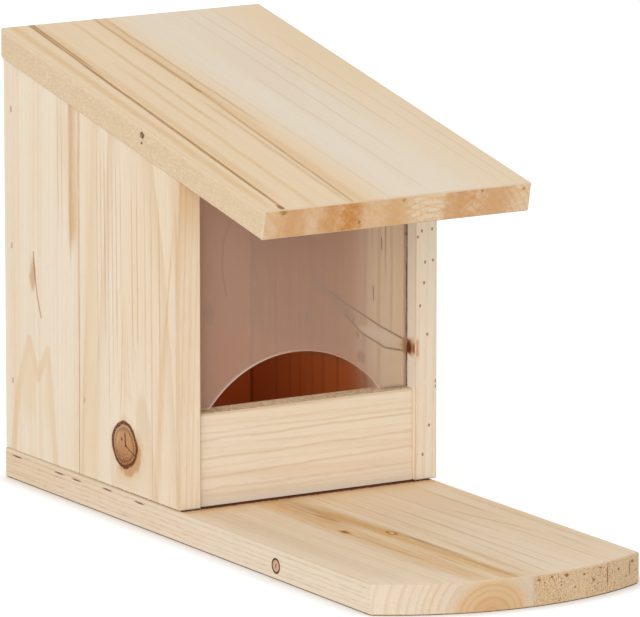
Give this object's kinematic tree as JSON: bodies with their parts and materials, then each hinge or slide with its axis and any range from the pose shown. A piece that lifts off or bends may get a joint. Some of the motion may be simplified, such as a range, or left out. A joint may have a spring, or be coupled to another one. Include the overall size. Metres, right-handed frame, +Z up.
{
  "type": "squirrel feeder box",
  "caption": "Wooden squirrel feeder box on a long bow-fronted base, with an arched clear pane, a low front rail and a sloping hinged roof.",
  "frame": {"origin": "on the underside of the base, on the box's middle line, straight below the front edges of the side panels", "axes": "+X to the right of someone who faces the window, +Y to the rear, +Z up"},
  "size_m": [0.1118, 0.285, 0.1709],
  "materials": {
    "pine": "planed, untreated",
    "clear_acrylic": "clear, polished",
    "brass": "brass-plated sheet",
    "steel": "zinc-plated"
  },
  "bodies": {
    "box": {"base_board": "pine", "left_side": "pine", "right_side": "pine", "back_panel": "pine", "front_rail": "pine", "window_pane": "clear_acrylic", "left_brads": "steel", "right_brads": "steel", "base_brads": "steel", "left_hinge_back_leaf": "brass", "left_hinge_pin": "steel", "left_hinge_back_screws": "steel", "right_hinge_back_leaf": "brass", "right_hinge_pin": "steel", "right_hinge_back_screws": "steel"},
    "lid": {"roof_board": "pine", "left_hinge_roof_leaf": "brass", "left_hinge_roof_screws": "steel", "right_hinge_roof_leaf": "brass", "right_hinge_roof_screws": "steel"}
  },
  "joints": [
    {"name": "lid_hinge", "type": "hinge", "parent": "box", "child": "lid", "pos_m": [0, 0.1319, 0.15971], "axis": [-1, 0, 0], "range_deg": [0, 100]}
  ]
}
